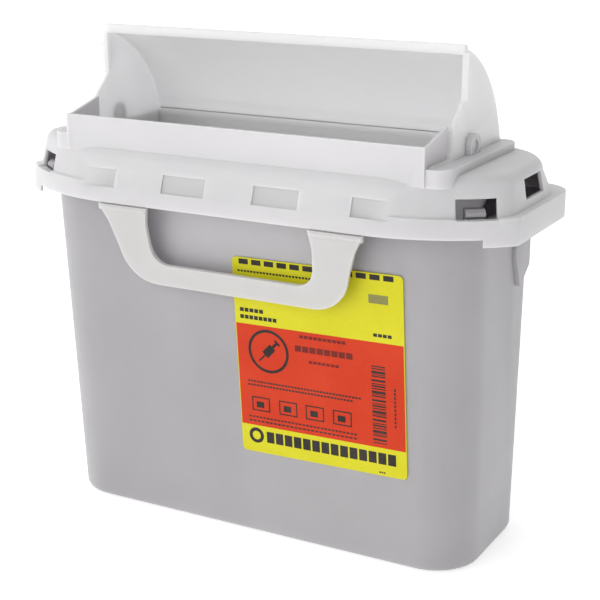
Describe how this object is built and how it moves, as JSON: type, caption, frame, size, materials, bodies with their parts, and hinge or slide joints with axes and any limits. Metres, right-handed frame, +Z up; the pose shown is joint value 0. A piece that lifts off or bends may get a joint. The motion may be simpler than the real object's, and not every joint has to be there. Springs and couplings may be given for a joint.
{
  "type": "sharps container",
  "caption": "Translucent side-entry sharps container: tapered bin, snap-fit lid, rotary drop door and fold-down strap handle.",
  "frame": {"origin": "middle of the bin's base, on the surface it stands on", "axes": "+X to the right seen from the front, +Y to the back, +Z up"},
  "size_m": [0.2988, 0.1208, 0.2779],
  "materials": {
    "bin_plastic": "satin translucent grey",
    "lid_plastic": "satin natural white",
    "door_plastic": "satin translucent white",
    "handle_plastic": "satin natural white",
    "label_stock": "printed film"
  },
  "bodies": {
    "container": {"bin": "bin_plastic", "lid": "lid_plastic", "label": "label_stock"},
    "door": {"door": "door_plastic"},
    "handle": {"handle": "handle_plastic"}
  },
  "joints": [
    {"name": "door_turn", "type": "hinge", "parent": "container", "child": "door", "pos_m": [0, -0.008, 0.226], "axis": [1, 0, 0], "range_deg": [0, 70]},
    {"name": "handle_swing", "type": "hinge", "parent": "container", "child": "handle", "pos_m": [0, -0.069, 0.1859], "axis": [-1, 0, 0], "range_deg": [0, 130]}
  ]
}
